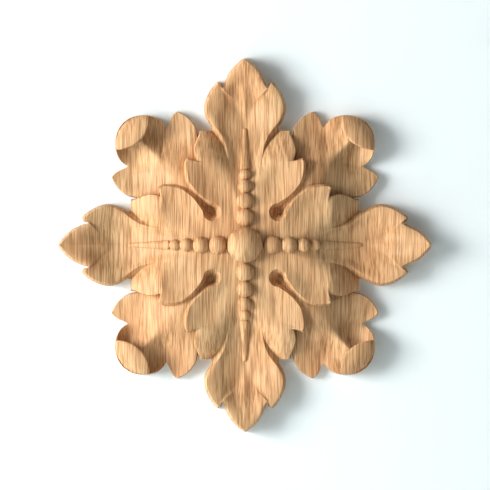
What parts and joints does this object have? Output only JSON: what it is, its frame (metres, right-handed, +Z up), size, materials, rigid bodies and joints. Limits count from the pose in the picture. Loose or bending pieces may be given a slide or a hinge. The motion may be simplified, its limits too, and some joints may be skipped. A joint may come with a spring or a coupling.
{
  "type": "carved wooden rosette",
  "caption": "Carved wooden rosette applique with leaves in a cross, rolled leaf tips on the diagonals and a beaded centre.",
  "frame": {"origin": "centre of the flat back, on the plane that lies against the wall or panel", "axes": "+Y points out of the back into the wall, the carved face looks along -Y, and +Z is up along the grain"},
  "size_m": [0.1504, 0.022, 0.1504],
  "materials": {
    "wood": "bare light hardwood, finely sanded, straight upright grain"
  },
  "bodies": {
    "root": {"carved_rosette": "wood"}
  },
  "joints": []
}
